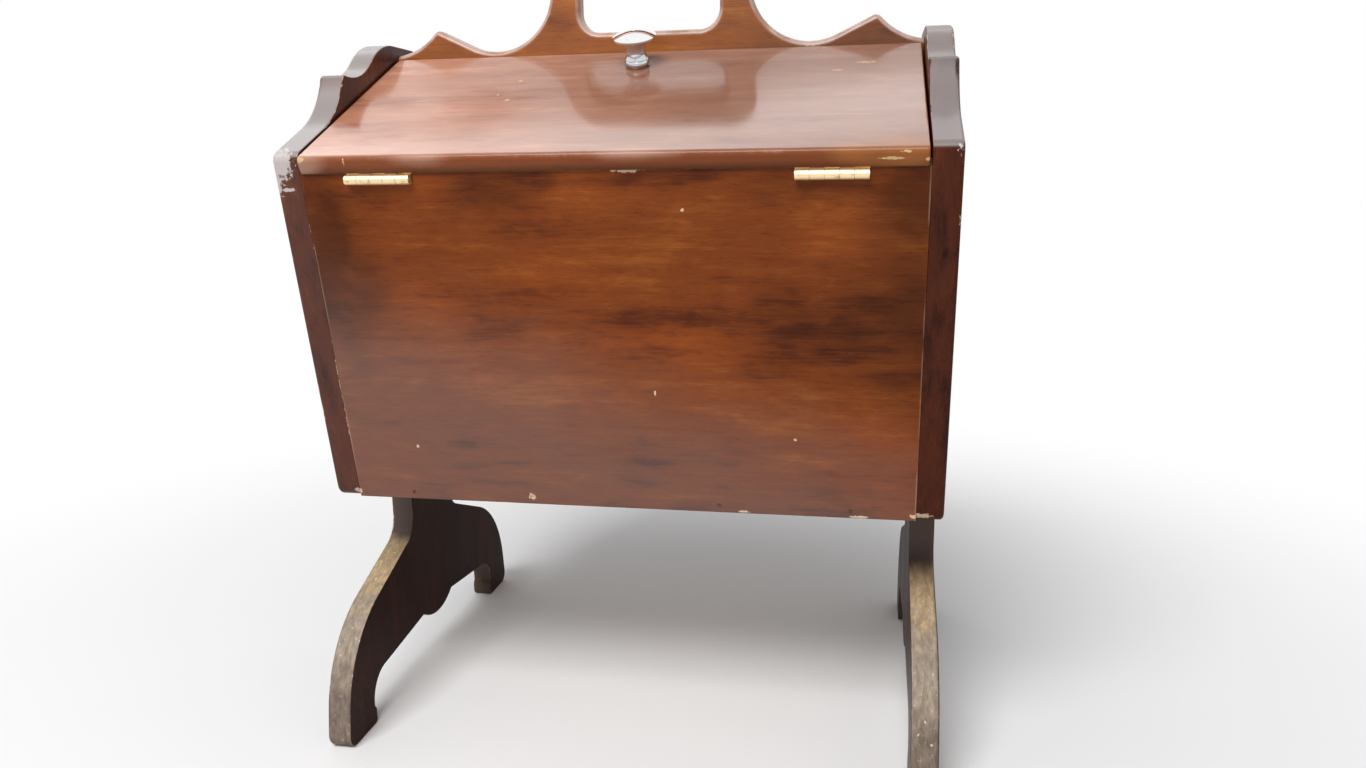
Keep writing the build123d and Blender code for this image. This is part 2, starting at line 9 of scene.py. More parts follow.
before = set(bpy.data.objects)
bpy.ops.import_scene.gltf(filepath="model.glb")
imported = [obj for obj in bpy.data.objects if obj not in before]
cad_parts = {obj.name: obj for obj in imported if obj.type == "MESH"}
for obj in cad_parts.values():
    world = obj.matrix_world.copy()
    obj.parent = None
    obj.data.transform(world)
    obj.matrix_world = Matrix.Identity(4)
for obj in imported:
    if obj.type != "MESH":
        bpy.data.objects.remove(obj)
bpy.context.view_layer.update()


# End boards: each one plank from its scalloped top to its feet, sawn to shape and stained dark.
# The stain is dull on the faces, and a grey sheen along the top is painted in: a painted reflection.
# Below the waist the sawn edges are bare wood.
class Nodes:
    """Places shader nodes in one tree and wires them; an input is a plain value or a node's output."""

    def __init__(self, tree):
        self.tree = tree

    def add(self, kind, inputs=None, **settings):
        """A new node with its inputs filled in."""
        node = self.tree.nodes.new(kind)
        for name, value in settings.items():
            setattr(node, name, value)
        for name, value in (inputs or {}).items():
            self.wire(value, node.inputs[name])
        return node

    def wire(self, value, socket):
        """Gives a socket a plain value, or joins another node's output to it."""
        if isinstance(value, bpy.types.NodeSocket):
            self.tree.links.new(value, socket)
        else:
            socket.default_value = value

    def use(self, group, inputs):
        """Places a shader group and returns its outputs."""
        return self.add("ShaderNodeGroup", inputs, node_tree=group).outputs

    def math(self, operation, *values):
        """One sum on plain values."""
        return self.add("ShaderNodeMath", dict(enumerate(values)), operation=operation).outputs[0]

    def times(self, *values):
        """The product of several values."""
        product = values[0]
        for value in values[1:]:
            product = self.math("MULTIPLY", product, value)
        return product

    def most(self, *values):
        """The largest of several values."""
        largest = values[0]
        for value in values[1:]:
            largest = self.math("MAXIMUM", largest, value)
        return largest

    def plus(self, value, amount, base):
        """A value times an amount, added to a base."""
        return self.math("MULTIPLY_ADD", value, amount, base)

    def swing(self, value, amount, base):
        """A noise value's distance from its middle, times an amount, added to a base."""
        return self.plus(self.math("SUBTRACT", value, 0.5), amount, base)

    def vector(self, operation, a, b):
        """One sum on two vectors, direction by direction."""
        return self.add("ShaderNodeVectorMath", {0: a, 1: b}, operation=operation).outputs[0]

    def along(self, a, b):
        """How far one direction points along another: their dot product."""
        return self.add("ShaderNodeVectorMath", {0: a, 1: b}, operation="DOT_PRODUCT").outputs["Value"]

    def length(self, vector):
        """How long a vector is."""
        return self.add("ShaderNodeVectorMath", {0: vector}, operation="LENGTH").outputs["Value"]

    def split(self, position):
        """The three coordinates of a position."""
        return self.add("ShaderNodeSeparateXYZ", {0: position}).outputs

    def radii(self, position, centre, radius, stretch):
        """How many radii a position lies from a centre, with its offset stretched in each direction."""
        offset = self.vector("MULTIPLY", self.vector("SUBTRACT", position, centre), stretch)
        return self.math("DIVIDE", self.length(offset), radius)

    def noise(self, position, waves, detail=3.0, roughness=0.5, distortion=0.0):
        """Soft noise with its waves per metre given for each direction, from about 0.2 to 0.8."""
        values = {"Vector": self.vector("MULTIPLY", position, waves), "Scale": 1.0, "Detail": detail}
        values.update({"Roughness": roughness, "Distortion": distortion})
        return self.add("ShaderNodeTexNoise", values).outputs["Fac"]

    def step(self, value, low, high):
        """Rises smoothly from 0 at low to 1 at high, or falls where low is the larger."""
        values = {"Value": value, "From Min": low, "From Max": high}
        return self.add("ShaderNodeMapRange", values, interpolation_type="SMOOTHSTEP").outputs["Result"]

    def hairline(self, waves, width):
        """Thin lines where a noise value crosses its middle."""
        return self.step(self.math("ABSOLUTE", self.math("SUBTRACT", waves, 0.5)), width, 0.0)

    def mix(self, share, a, b):
        """Colour a where share is 0, and colour b where it is 1."""
        return self.add("ShaderNodeMix", {0: share, 6: a, 7: b}, data_type="RGBA").outputs[2]

    def blend(self, share, a, b):
        """Value a where share is 0, and value b where it is 1."""
        return self.add("ShaderNodeMix", {0: share, 2: a, 3: b}, data_type="FLOAT").outputs[0]

    def shade(self, colour, amount):
        """A colour multiplied by a grey amount."""
        values = {0: 1.0, 6: colour, 7: amount}
        return self.add("ShaderNodeMix", values, data_type="RGBA", blend_type="MULTIPLY").outputs[2]

    def bump(self, strength, distance, height, shader):
        """Gives a shader the small relief of a height."""
        relief = self.add("ShaderNodeBump", {"Strength": strength, "Distance": distance, "Height": height})
        self.wire(relief.outputs[0], shader["Normal"])


def new_group(name, inputs, outputs):
    """An empty shader group with named sockets: its tree, its nodes, its given inputs and made outputs."""
    tree = bpy.data.node_groups.new(name, "ShaderNodeTree")
    for label, kind in inputs.items():
        tree.interface.new_socket(label, in_out="INPUT", socket_type=kind)
    for label, kind in outputs.items():
        tree.interface.new_socket(label, in_out="OUTPUT", socket_type=kind)
    nodes = Nodes(tree)
    return tree, nodes, nodes.add("NodeGroupInput").outputs, nodes.add("NodeGroupOutput").inputs


def new_finish(name):
    """A material with one Principled shader: itself, its nodes, the shader's inputs, the coordinates."""
    finish = bpy.data.materials.new(name)
    finish.use_nodes = True
    nodes = Nodes(finish.node_tree)
    shader = finish.node_tree.nodes["Principled BSDF"].inputs
    return finish, nodes, shader, nodes.add("ShaderNodeTexCoord").outputs


def wear_finish(names, finish):
    """Puts a material on CAD nodes."""
    for name in names:
        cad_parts[name].material_slots[0].material = finish


VALUE, COLOUR, VECTOR = "NodeSocketFloat", "NodeSocketColor", "NodeSocketVector"

# Stained grain: broad bands, long streaks, clouds of uneven stain, a short mottle, fibres and dark pores.
# Waves are per metre along, across and through the grain.
BAND_WAVES = (2.4, 19.0, 19.0)
STREAK_WAVES = (7.0, 90.0, 90.0)
CLOUD_WAVES = (13.0, 27.0, 27.0)
MOTTLE_WAVES = (45.0, 190.0, 190.0)
FIBRE_WAVES = (38.0, 1300.0, 1300.0)
PORE_WAVES = (170.0, 2300.0, 2300.0)
PORE_SHARE = 0.35
PORE_DEPTH = -0.7
stained_grain, nodes, given, made = new_group(
    "stained_grain",
    {"Position": VECTOR, "Dark": COLOUR, "Middle": COLOUR, "Light": COLOUR, "Clouds": VALUE, "Tone": VALUE},
    {"Colour": COLOUR, "Relief": VALUE},
)
position = given["Position"]
bands = nodes.noise(position, BAND_WAVES, detail=2.0, distortion=0.5)
streaks = nodes.noise(position, STREAK_WAVES, detail=4.0, roughness=0.6, distortion=0.35)
clouds = nodes.noise(position, CLOUD_WAVES, detail=4.0, roughness=0.55, distortion=0.9)
mottle = nodes.noise(position, MOTTLE_WAVES, detail=3.0, roughness=0.6, distortion=0.5)
fibres = nodes.noise(position, FIBRE_WAVES, detail=2.0)
pores = nodes.step(nodes.noise(position, PORE_WAVES, detail=1.0), 0.60, 0.70)
tone = nodes.math("ADD", given["Tone"], 0.5)
layers = ((bands, 0.75), (streaks, 0.80), (clouds, given["Clouds"]), (mottle, 0.65), (fibres, 0.30))
for layer, amount in layers:
    tone = nodes.swing(layer, amount, tone)
lower_tone = nodes.mix(nodes.step(tone, 0.05, 0.52), given["Dark"], given["Middle"])
full_tone = nodes.mix(nodes.step(tone, 0.48, 0.95), lower_tone, given["Light"])
nodes.wire(nodes.mix(nodes.times(pores, PORE_SHARE), full_tone, given["Dark"]), made["Colour"])
nodes.wire(nodes.plus(pores, PORE_DEPTH, fibres), made["Relief"])

# Worn arris: bare where a board's rounded edge turns from its face, in ragged runs that come and go
RAGGED_WAVES = (190.0, 190.0, 190.0)
PATCHY_WAVES = (16.0, 16.0, 16.0)
worn_arris, nodes, given, made = new_group(
    "worn_arris",
    {"Position": VECTOR, "Normal": VECTOR, "Face": VECTOR, "Wear": VALUE},
    {"Bare": VALUE, "Rubbed": VALUE},
)
facing = nodes.along(given["Normal"], given["Face"])
square = nodes.times(facing, facing)
arris = nodes.times(square, nodes.math("SUBTRACT", 1.0, square), 4.0)
ragged = nodes.noise(given["Position"], RAGGED_WAVES, detail=4.0, roughness=0.65)
patchy = nodes.noise(given["Position"], PATCHY_WAVES, detail=2.0)
worn = nodes.swing(patchy, 2.2, nodes.swing(ragged, 1.7, given["Wear"]))
worn = nodes.times(worn, nodes.step(arris, 0.10, 0.75))
nodes.wire(nodes.step(worn, 0.42, 0.62), made["Bare"])
nodes.wire(nodes.step(worn, 0.05, 0.60), made["Rubbed"])

# Scuffs: small nicks down to the wood, a few to the hand's breadth, and hairline scratches.
# A nick lies in one cell of a loose pattern, and the density says how many cells have one.
NICK_CELLS = (20.0, 34.0, 34.0)  # per metre
NICK_EDGE_WAVES = (700.0, 900.0, 900.0)
NICK_SIZE = 0.055  # of a cell
SCRATCH_WAVES = (9.0, 420.0, 420.0)
SCRATCH_PATCHES = (21.0, 33.0, 33.0)
scuffs, nodes, given, made = new_group(
    "scuffs",
    {"Position": VECTOR, "Density": VALUE},
    {"Nicks": VALUE, "Scratches": VALUE},
)
position = given["Position"]
spread = nodes.vector("MULTIPLY", position, NICK_CELLS)
cells = nodes.add("ShaderNodeTexVoronoi", {"Vector": spread, "Scale": 1.0}).outputs
chance = nodes.add("ShaderNodeSeparateColor", {0: cells["Color"]}).outputs[0]
nick_size = nodes.times(nodes.step(chance, nodes.math("SUBTRACT", 1.0, given["Density"]), 1.0), NICK_SIZE)
reach = nodes.swing(nodes.noise(position, NICK_EDGE_WAVES, detail=2.0), 0.035, cells["Distance"])
nicks = nodes.step(reach, nick_size, nodes.times(nick_size, 0.6))
nodes.wire(nodes.times(nicks, nodes.step(nick_size, 0.004, 0.012)), made["Nicks"])
scratches = nodes.hairline(nodes.noise(position, SCRATCH_WAVES, detail=1.0, distortion=1.2), 0.006)
present = nodes.step(nodes.noise(position, SCRATCH_PATCHES, detail=1.0), 0.58, 0.70)
nodes.wire(nodes.times(scratches, present), made["Scratches"])

# Worn spot: a ragged bare patch round one place
SPOT_EDGE_WAVES = (430.0, 430.0, 430.0)
SPOT_INPUTS = {"Position": VECTOR, "Centre": VECTOR, "Radius": VALUE, "Stretch": VECTOR}
worn_spot, nodes, given, made = new_group("worn_spot", SPOT_INPUTS, {"Share": VALUE})
away = nodes.radii(given["Position"], given["Centre"], given["Radius"], given["Stretch"])
away = nodes.swing(nodes.noise(given["Position"], SPOT_EDGE_WAVES, detail=4.0, roughness=0.7), 2.6, away)
nodes.wire(nodes.step(away, 1.0, 0.72), made["Share"])


def patches(nodes, group, position, places):
    """The shares of a patch group round several places, each a centre, a radius and a stretch."""
    shares = []
    for centre, radius, stretch in places:
        values = {"Position": position, "Centre": centre, "Radius": radius, "Stretch": stretch}
        shares.append(nodes.use(group, values)["Share"])
    return shares


END_DARK = (0.016, 0.0050, 0.0030, 1)
END_MIDDLE = (0.078, 0.0175, 0.0070, 1)
END_LIGHT = (0.150, 0.0420, 0.0140, 1)
END_SCRATCH = (0.24, 0.13, 0.085, 1)
ARRIS_PALE = (0.52, 0.38, 0.265, 1)
NOSE_PALE = (0.52, 0.465, 0.45, 1)
PAINTED_SHEEN_GREY = (0.260, 0.228, 0.222, 1)
LEG_GOLDEN = (0.455, 0.330, 0.200, 1)
LEG_GREYED = (0.345, 0.280, 0.220, 1)
LEG_BROWN = (0.215, 0.165, 0.132, 1)
LEG_SHADE = (0.030, 0.0130, 0.0100, 1)
LEG_FLECK = (0.76, 0.64, 0.46, 1)
WAIST_GREY = (0.120, 0.088, 0.075, 1)
ARCH_GREY = (0.098, 0.072, 0.060, 1)
INSIDE_DARK = (0.150, 0.070, 0.028, 1)
INSIDE_MIDDLE = (0.300, 0.160, 0.072, 1)
INSIDE_LIGHT = (0.420, 0.255, 0.130, 1)
END_TONES = {"Dark": END_DARK, "Middle": END_MIDDLE, "Light": END_LIGHT, "Clouds": 0.8}
INSIDE_TONES = {"Dark": INSIDE_DARK, "Middle": INSIDE_MIDDLE, "Light": INSIDE_LIGHT, "Clouds": 0.5}
# Heights between which a finish comes in
LEG_DARKENS = (0.170, 0.120)
WAIST_GREYS = (0.150, 0.130)
EDGE_BARES = (0.1082, 0.1002)
EDGE_GREYS = (0.094, 0.074)
EDGE_SOILS = (0.060, 0.032)
TOP_SHEENS = (0.34, 0.37)
BOX_FLOOR = (0.156, 0.158)
# The box inside: the panels lean out from the floor, and the lids fall from the ridge
BOX_HALF = 0.0728  # half its depth, carried down to the ground
PANEL_LEAN = 0.1965  # out for each metre up
LID_RIDGE = 0.4240  # height of the lids' undersides, carried in to the middle
LID_FALL = 0.4684  # down for each metre out
# Each mark: its centre, its radius, and how it is drawn in along each direction
END_CHIPS = (
    ((-0.1742, -0.1042, 0.1600), 0.0022, (1, 1, 1)),
    ((0.1762, -0.1042, 0.1592), 0.0032, (0.6, 1, 1.3)),
)
END_NOSE = (
    ((-0.1835, -0.1450, 0.3640), 0.0095, (1.2, 1, 0.8)),
    ((-0.1865, -0.1440, 0.3530), 0.0055, (1.6, 1, 0.6)),
    ((-0.1810, -0.1413, 0.3481), 0.0026, (0.6, 1, 1.8)),
    ((0.1865, -0.1480, 0.3660), 0.0045, (1.6, 1, 0.7)),
)
LEG_RAGGED_WAVES = (120.0, 120.0, 120.0)
LEG_FIBRE_WAVES = (420.0, 130.0, 130.0)
LEG_FLECK_WAVES = (520.0, 330.0, 330.0)
END_SMEAR_WAVES = (23.0, 23.0, 9.0)
END_ROUGH = (0.22, 0.46)
BARE_ROUGH = 0.75

finish, nodes, shader, surface = new_finish("end_board_stain")
position, normal = surface["Object"], surface["Normal"]
place = nodes.split(position)
upright = nodes.add("ShaderNodeCombineXYZ", {0: place[2], 1: place[1], 2: place[0]}).outputs[0]
left = nodes.step(place[0], 0.001, -0.001)
leg = nodes.step(place[2], *LEG_DARKENS)
grain = nodes.use(stained_grain, {"Position": upright, "Tone": nodes.times(leg, -0.34), **END_TONES})
wear = nodes.use(worn_arris, {"Position": position, "Normal": normal, "Face": (1, 0, 0), "Wear": 0.22})
marks = nodes.use(scuffs, {"Position": position, "Density": 0.2})
facing = nodes.along(normal, (1, 0, 0))
sawn = nodes.step(nodes.times(facing, facing), 0.75, 0.35)
ragged = nodes.noise(position, LEG_RAGGED_WAVES, detail=3.0)
height = nodes.swing(ragged, 0.006, place[2])
bare_leg = nodes.times(sawn, nodes.step(height, *EDGE_BARES))
# The sawn leg edges are golden under the waist, then greyed and soiled, with pale torn fibres
greyed = nodes.step(nodes.swing(ragged, 0.05, place[2]), *EDGE_GREYS)
darkened_foot = nodes.step(nodes.swing(ragged, 0.03, place[2]), *EDGE_SOILS)
leg_fibres = nodes.noise(position, LEG_FIBRE_WAVES, detail=4.0, roughness=0.7)
leg_colour = nodes.mix(greyed, LEG_GOLDEN, LEG_GREYED)
leg_colour = nodes.mix(darkened_foot, leg_colour, LEG_BROWN)
leg_colour = nodes.shade(leg_colour, nodes.blend(nodes.step(leg_fibres, 0.3, 0.7), 0.66, 1.14))
flecks = nodes.step(nodes.noise(position, LEG_FLECK_WAVES, detail=2.0), 0.66, 0.74)
leg_colour = nodes.mix(nodes.times(flecks, 0.7), leg_colour, LEG_FLECK)
# Under the arch, the edges that face the other foot are turned a darker grey
inward = nodes.times(nodes.along(normal, (0, 1, 0)), nodes.math("SIGN", place[1]))
leg_colour = nodes.mix(nodes.step(inward, 0.05, -0.25), leg_colour, ARCH_GREY)
# The upward edges carry a painted grey sheen, a painted reflection, the left board's more than the right
# one's
rising = nodes.step(nodes.along(normal, (0, 0, 1)), 0.20, 0.55)
sheen_edges = nodes.times(sawn, rising, nodes.step(place[2], *TOP_SHEENS))
waist = nodes.times(sawn, nodes.step(height, *WAIST_GREYS))
colour = nodes.shade(grain["Colour"], nodes.blend(left, 0.80, 1.0))
colour = nodes.mix(nodes.times(leg, 0.70), colour, LEG_SHADE)
colour = nodes.mix(nodes.times(waist, 0.75), colour, WAIST_GREY)
# The left board's sawn edges get a faint painted grey sheen as well: painted reflection
colour = nodes.mix(nodes.times(sawn, left, 0.05), colour, PAINTED_SHEEN_GREY)
colour = nodes.mix(nodes.times(sheen_edges, nodes.blend(left, 0.72, 0.90)), colour, PAINTED_SHEEN_GREY)
colour = nodes.mix(nodes.times(marks["Scratches"], 0.30), colour, END_SCRATCH)
colour = nodes.mix(nodes.times(wear["Rubbed"], 0.35), colour, END_LIGHT)
chips = patches(nodes, worn_spot, position, END_CHIPS)
bare = nodes.most(wear["Bare"], nodes.times(marks["Nicks"], 0.8), *chips)
colour = nodes.mix(bare, colour, ARRIS_PALE)
# Pale worn patches on the noses, their whitish grey partly a painted highlight
nose = nodes.most(*patches(nodes, worn_spot, position, END_NOSE))
colour = nodes.mix(nodes.times(nose, 0.85), colour, NOSE_PALE)
colour = nodes.mix(bare_leg, colour, leg_colour)
# Between the panels, under the lids, the inner face is plain wood with a thin stain
depth = nodes.math("ABSOLUTE", place[1])
past_panel = nodes.plus(place[2], -PANEL_LEAN, nodes.math("SUBTRACT", depth, BOX_HALF))
below_lid = nodes.plus(depth, -LID_FALL, nodes.math("SUBTRACT", LID_RIDGE, place[2]))
inner_face = nodes.step(nodes.times(facing, nodes.math("SIGN", place[0])), -0.8, -0.9)
inside = nodes.times(nodes.step(past_panel, 0.0, -0.001), nodes.step(below_lid, 0.0, 0.001))
inside = nodes.times(inside, nodes.step(place[2], *BOX_FLOOR), inner_face)
plain = nodes.use(stained_grain, {"Position": upright, **INSIDE_TONES})
nodes.wire(nodes.mix(inside, colour, plain["Colour"]), shader["Base Color"])
dull = nodes.most(bare, nose, bare_leg, inside)
smear = nodes.noise(position, END_SMEAR_WAVES, detail=3.0)
nodes.wire(nodes.blend(dull, nodes.blend(smear, *END_ROUGH), BARE_ROUGH), shader["Roughness"])
coat = nodes.blend(leg, nodes.blend(left, 0.12, 0.30), 0.0)
nodes.wire(nodes.blend(sheen_edges, coat, nodes.blend(left, 0.50, 1.0)), shader["Coat Weight"])
shader["Coat Roughness"].default_value = 0.28
shader["Specular IOR Level"].default_value = 0.03
relief = nodes.plus(bare_leg, nodes.times(leg_fibres, 6.0), grain["Relief"])
nodes.bump(0.35, 0.00012, nodes.plus(nodes.most(bare, nose), -1.6, relief), shader)
wear_finish(("left_end_board", "right_end_board"), finish)


# Front and back panel: wide thin boards with level grain, glued and bradded between the end boards.
# The stain took in blotches and was toned darker towards the ends.
# A nail hole low down has lost its filler.
PANEL_DARK = (0.075, 0.0155, 0.0045, 1)
PANEL_MIDDLE = (0.195, 0.0440, 0.0075, 1)
PANEL_LIGHT = (0.300, 0.0850, 0.0140, 1)
PANEL_SCRATCH = (0.38, 0.18, 0.09, 1)
PANEL_PAINTED_HAZE = (0.170, 0.155, 0.150, 1)
CHIP_PALE = (0.62, 0.44, 0.30, 1)
PANEL_TONES = {"Dark": PANEL_DARK, "Middle": PANEL_MIDDLE, "Light": PANEL_LIGHT, "Clouds": 0.85}
PANEL_FACE = (0, -0.9812, -0.1928)
PANEL_FOOT = (-0.1035, 0.156)  # depth and height of the face's lower edge
PANEL_JOINT = (0.1711, 0.1715)  # across, where the joint to an end board begins to show
ENDS_TONED = (0.125, 0.190)  # across
ENDS_TONED_ABOVE = (0.190, 0.235)  # height
UPPER_TONED = (0.245, 0.305)  # height
HAZE_FADES = (0.285, 0.175)  # height
HAZE_SLANT = 0.30  # higher by this share of the way to the left
PANEL_DRIFT_WAVES = (13.0, 13.0, 19.0)
PANEL_SMEAR_WAVES = (9.0, 26.0, 26.0)
PANEL_RIPPLES = (14.0, 60.0, 60.0)
PANEL_ROUGH = (0.20, 0.42)
WORN_ROUGH = 0.70
# Each mark: its place across and height, its radius, and how it is drawn in across and upright
PANEL_CHIPS = (
    (-0.0580, 0.1608, 0.0024, 1, 1),
    (0.0230, 0.2313, 0.0010, 1.2, 0.6),
    (0.0439, 0.3355, 0.0009, 1, 1),
    (0.1030, 0.2048, 0.0007, 1, 1),
    (-0.1279, 0.1925, 0.0008, 1, 0.7),
    (0.1712, 0.1592, 0.0018, 0.7, 1.3),
    (-0.1715, 0.1600, 0.0013, 1, 0.8),
    (0.0150, 0.3568, 0.0024, 0.25, 1.6),
    (0.0720, 0.1574, 0.0011, 0.3, 1.3),
    (0.1400, 0.1572, 0.0012, 0.2, 1.4),
)
DARK_BLOTCHES = (
    (-0.141, 0.293, 0.020, 1.5, 0.75),
    (-0.157, 0.330, 0.020, 1.4, 0.7),
    (-0.155, 0.245, 0.016, 1.2, 0.9),
    (0.108, 0.349, 0.017, 0.6, 1.4),
    (0.164, 0.345, 0.026, 1.0, 1.0),
    (0.164, 0.275, 0.056, 1.3, 0.7),
    (-0.168, 0.310, 0.034, 1.5, 0.6),
    (0.118, 0.262, 0.040, 0.7, 1.0),
    (-0.064, 0.343, 0.020, 0.5, 1.6),
)
LIGHT_BLOTCHES = (
    (-0.009, 0.348, 0.024, 0.5, 1.6),
    (-0.026, 0.302, 0.026, 0.6, 1.6),
    (0.033, 0.258, 0.024, 0.5, 1.8),
    (-0.108, 0.281, 0.022, 0.8, 1.2),
    (-0.105, 0.350, 0.016, 0.6, 1.2),
    (0.126, 0.322, 0.022, 0.8, 1.2),
    (0.150, 0.212, 0.020, 0.8, 1.2),
)

# Stain blotch: a soft patch round one place, where the wood drank more or less of the stain
BLOTCH_EDGE_WAVES = (32.0, 60.0, 60.0)
stain_blotch, nodes, given, made = new_group("stain_blotch", SPOT_INPUTS, {"Share": VALUE})
away = nodes.radii(given["Position"], given["Centre"], given["Radius"], given["Stretch"])
away = nodes.swing(nodes.noise(given["Position"], BLOTCH_EDGE_WAVES, detail=4.0, roughness=0.55), 1.3, away)
nodes.wire(nodes.step(away, 1.35, 0.05), made["Share"])

# Home place: where a point or normal of a back piece lies on the like front piece, turned half round
home_place, nodes, given, made = new_group(
    "home_place", {"Position": VECTOR, "Normal": VECTOR}, {"Position": VECTOR, "Normal": VECTOR}
)
swap = nodes.times(nodes.math("SIGN", nodes.split(given["Position"])[1]), -1.0)
turn = nodes.add("ShaderNodeCombineXYZ", {0: swap, 1: swap, 2: 1.0}).outputs[0]
for label in ("Position", "Normal"):
    nodes.wire(nodes.vector("MULTIPLY", given[label], turn), made[label])


def on_panel(marks):
    """Centre, radius and stretch of marks on the front panel: its face leans out evenly from its foot."""
    foot_depth, foot_height = PANEL_FOOT
    places = []
    for x, z, radius, across, upright in marks:
        depth = foot_depth - (z - foot_height) * PANEL_LEAN
        places.append(((x, depth, z), radius, (across, 1, upright)))
    return places


finish, nodes, shader, surface = new_finish("panel_stain")
position = surface["Object"]
home = nodes.use(home_place, {"Position": position, "Normal": surface["Normal"]})
place = nodes.split(position)
sideways = nodes.math("ABSOLUTE", place[0])
drift = nodes.noise(position, PANEL_DRIFT_WAVES, detail=3.0, distortion=0.6)
toned = nodes.step(nodes.swing(drift, 0.13, sideways), *ENDS_TONED)
toned = nodes.times(toned, nodes.step(place[2], *ENDS_TONED_ABOVE))
upper = nodes.step(nodes.swing(drift, 0.04, place[2]), *UPPER_TONED)
strength = nodes.plus(toned, -0.26, nodes.plus(upper, -0.15, 1.0))
for amount, blotches in ((-0.26, DARK_BLOTCHES), (0.20, LIGHT_BLOTCHES)):
    for share in patches(nodes, stain_blotch, position, on_panel(blotches)):
        strength = nodes.plus(share, amount, strength)
grain = nodes.use(stained_grain, {"Position": position, **PANEL_TONES})
stained = nodes.shade(grain["Colour"], nodes.most(strength, 0.40))
rim = {"Position": position, "Normal": home["Normal"], "Face": PANEL_FACE, "Wear": 0.18}
wear = nodes.use(worn_arris, rim)
marks = nodes.use(scuffs, {"Position": position, "Density": 0.10})
# A grey haze is painted low down, higher on the left: a painted reflection in the varnish.
# The joints to the end boards show as thin broken lines.
slanted = nodes.plus(place[0], HAZE_SLANT, place[2])
haze = nodes.step(nodes.swing(drift, 0.06, slanted), *HAZE_FADES)
colour = nodes.mix(nodes.times(haze, 0.36), stained, PANEL_PAINTED_HAZE)
colour = nodes.mix(nodes.times(marks["Scratches"], 0.16), colour, PANEL_SCRATCH)
joint = nodes.times(nodes.step(sideways, *PANEL_JOINT), nodes.step(drift, 0.42, 0.60))
chips = patches(nodes, worn_spot, position, on_panel(PANEL_CHIPS))
bare = nodes.most(wear["Bare"], nodes.times(joint, 0.22), nodes.times(marks["Nicks"], 0.7), *chips)
colour = nodes.mix(bare, colour, CHIP_PALE)
inside = nodes.step(nodes.along(home["Normal"], PANEL_FACE), -0.6, -0.9)
plain = nodes.use(stained_grain, {"Position": position, **INSIDE_TONES})
nodes.wire(nodes.mix(inside, colour, plain["Colour"]), shader["Base Color"])
smear = nodes.noise(position, PANEL_SMEAR_WAVES, detail=4.0, roughness=0.6)
dull = nodes.most(bare, inside)
nodes.wire(nodes.blend(dull, nodes.blend(smear, *PANEL_ROUGH), WORN_ROUGH), shader["Roughness"])
shader["Specular IOR Level"].default_value = 0.09
relief = nodes.plus(nodes.noise(position, PANEL_RIPPLES, detail=2.0), 5.0, grain["Relief"])
nodes.bump(0.25, 0.0001, nodes.plus(bare, -2.0, relief), shader)
wear_finish(("front_panel", "back_panel"), finish)


# Bottom board: a plain board between the panels and the end boards, bradded all round, never stained.
# It has yellowed and gathered dust.
PLAIN_DARK = (0.17, 0.085, 0.036, 1)
PLAIN_MIDDLE = (0.36, 0.22, 0.11, 1)
PLAIN_LIGHT = (0.47, 0.31, 0.17, 1)
DUST_GREY = (0.33, 0.29, 0.25, 1)
DENT_BROWN = (0.10, 0.06, 0.035, 1)
PLAIN_TONES = {"Dark": PLAIN_DARK, "Middle": PLAIN_MIDDLE, "Light": PLAIN_LIGHT, "Clouds": 0.6}
DUST_WAVES = (31.0, 31.0, 31.0)
plain_board, nodes, shader, surface = new_finish("plain_board")
position = surface["Object"]
grain = nodes.use(stained_grain, {"Position": position, **PLAIN_TONES})
marks = nodes.use(scuffs, {"Position": position, "Density": 0.3})
dust = nodes.step(nodes.noise(position, DUST_WAVES, detail=5.0, roughness=0.65), 0.42, 0.72)
colour = nodes.mix(nodes.times(dust, 0.30), grain["Colour"], DUST_GREY)
colour = nodes.mix(nodes.times(marks["Nicks"], 0.6), colour, DENT_BROWN)
nodes.wire(colour, shader["Base Color"])
nodes.wire(nodes.blend(dust, 0.62, 0.85), shader["Roughness"])
nodes.bump(0.5, 0.00015, grain["Relief"], shader)
wear_finish(("bottom_board",), plain_board)


# Handle board: a board with a scrolled top, housed in slots in the end boards and sawn out for the hand.
# Years of lifting have thinned its stain to a golden brown and rubbed its rounded edges pale; a pale sheen
# is painted on them as well, a painted highlight.
HANDLE_DARK = (0.098, 0.0240, 0.0040, 1)
HANDLE_MIDDLE = (0.245, 0.0660, 0.0080, 1)
HANDLE_LIGHT = (0.370, 0.1250, 0.0170, 1)
HANDLE_RUBBED_SHEEN = (0.47, 0.325, 0.275, 1)
HANDLE_TONES = {"Dark": HANDLE_DARK, "Middle": HANDLE_MIDDLE, "Light": HANDLE_LIGHT, "Clouds": 0.8}
HANDLE_CUT = (0.31, 0.12, 0.0)  # shifts the grain, as in a board cut from elsewhere
HANDLE_DARKENS = (0.02, 0.11)  # across, towards the right
RUB_WAVES = (60.0, 60.0, 60.0)
HANDLE_SMEAR_WAVES = (19.0, 19.0, 27.0)
HANDLE_ROUGH = (0.20, 0.42)
NICK_ROUGH = 0.62
finish, nodes, shader, surface = new_finish("handle_stain")
position, normal = surface["Object"], surface["Normal"]
shifted = nodes.vector("ADD", position, HANDLE_CUT)
grain = nodes.use(stained_grain, {"Position": shifted, **HANDLE_TONES})
marks = nodes.use(scuffs, {"Position": shifted, "Density": 0.15})
facing = nodes.along(normal, (0, 1, 0))
edge = nodes.step(nodes.times(facing, facing), 0.97, 0.80)
edge = nodes.times(edge, nodes.step(nodes.along(normal, (0, 0, 1)), -0.35, 0.30))
uneven = nodes.noise(position, RUB_WAVES, detail=4.0, roughness=0.6)
